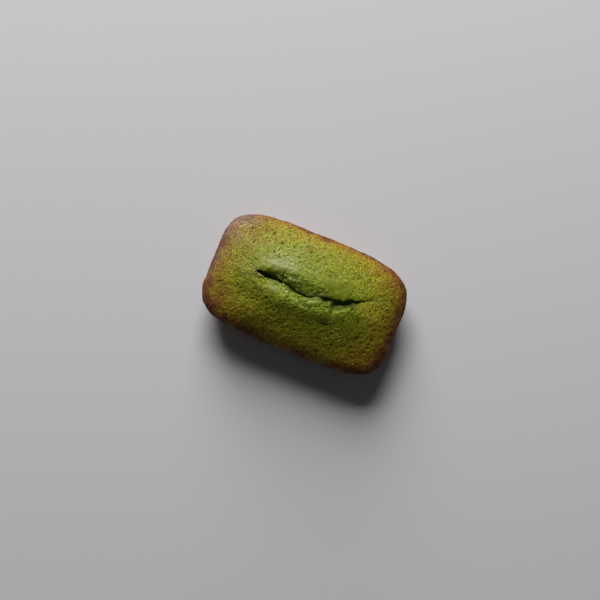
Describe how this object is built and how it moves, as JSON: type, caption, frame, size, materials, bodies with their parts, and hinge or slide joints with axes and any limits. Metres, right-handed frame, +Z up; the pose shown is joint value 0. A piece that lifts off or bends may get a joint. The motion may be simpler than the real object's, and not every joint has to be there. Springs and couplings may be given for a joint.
{
  "type": "financier cake",
  "caption": "Small oblong almond cake coloured with green powdered tea, with browned edges, leaning walls and a domed top that burst lengthwise; it rests on its flat base.",
  "frame": {"origin": "middle of the flat base, on the surface the cake rests on", "axes": "+X along the length, +Z up, -Y the side that the picture's light falls on"},
  "size_m": [0.078, 0.0476, 0.0218],
  "materials": {
    "cake_crust": "satin"
  },
  "bodies": {
    "root": {"cake": "cake_crust"}
  },
  "joints": []
}
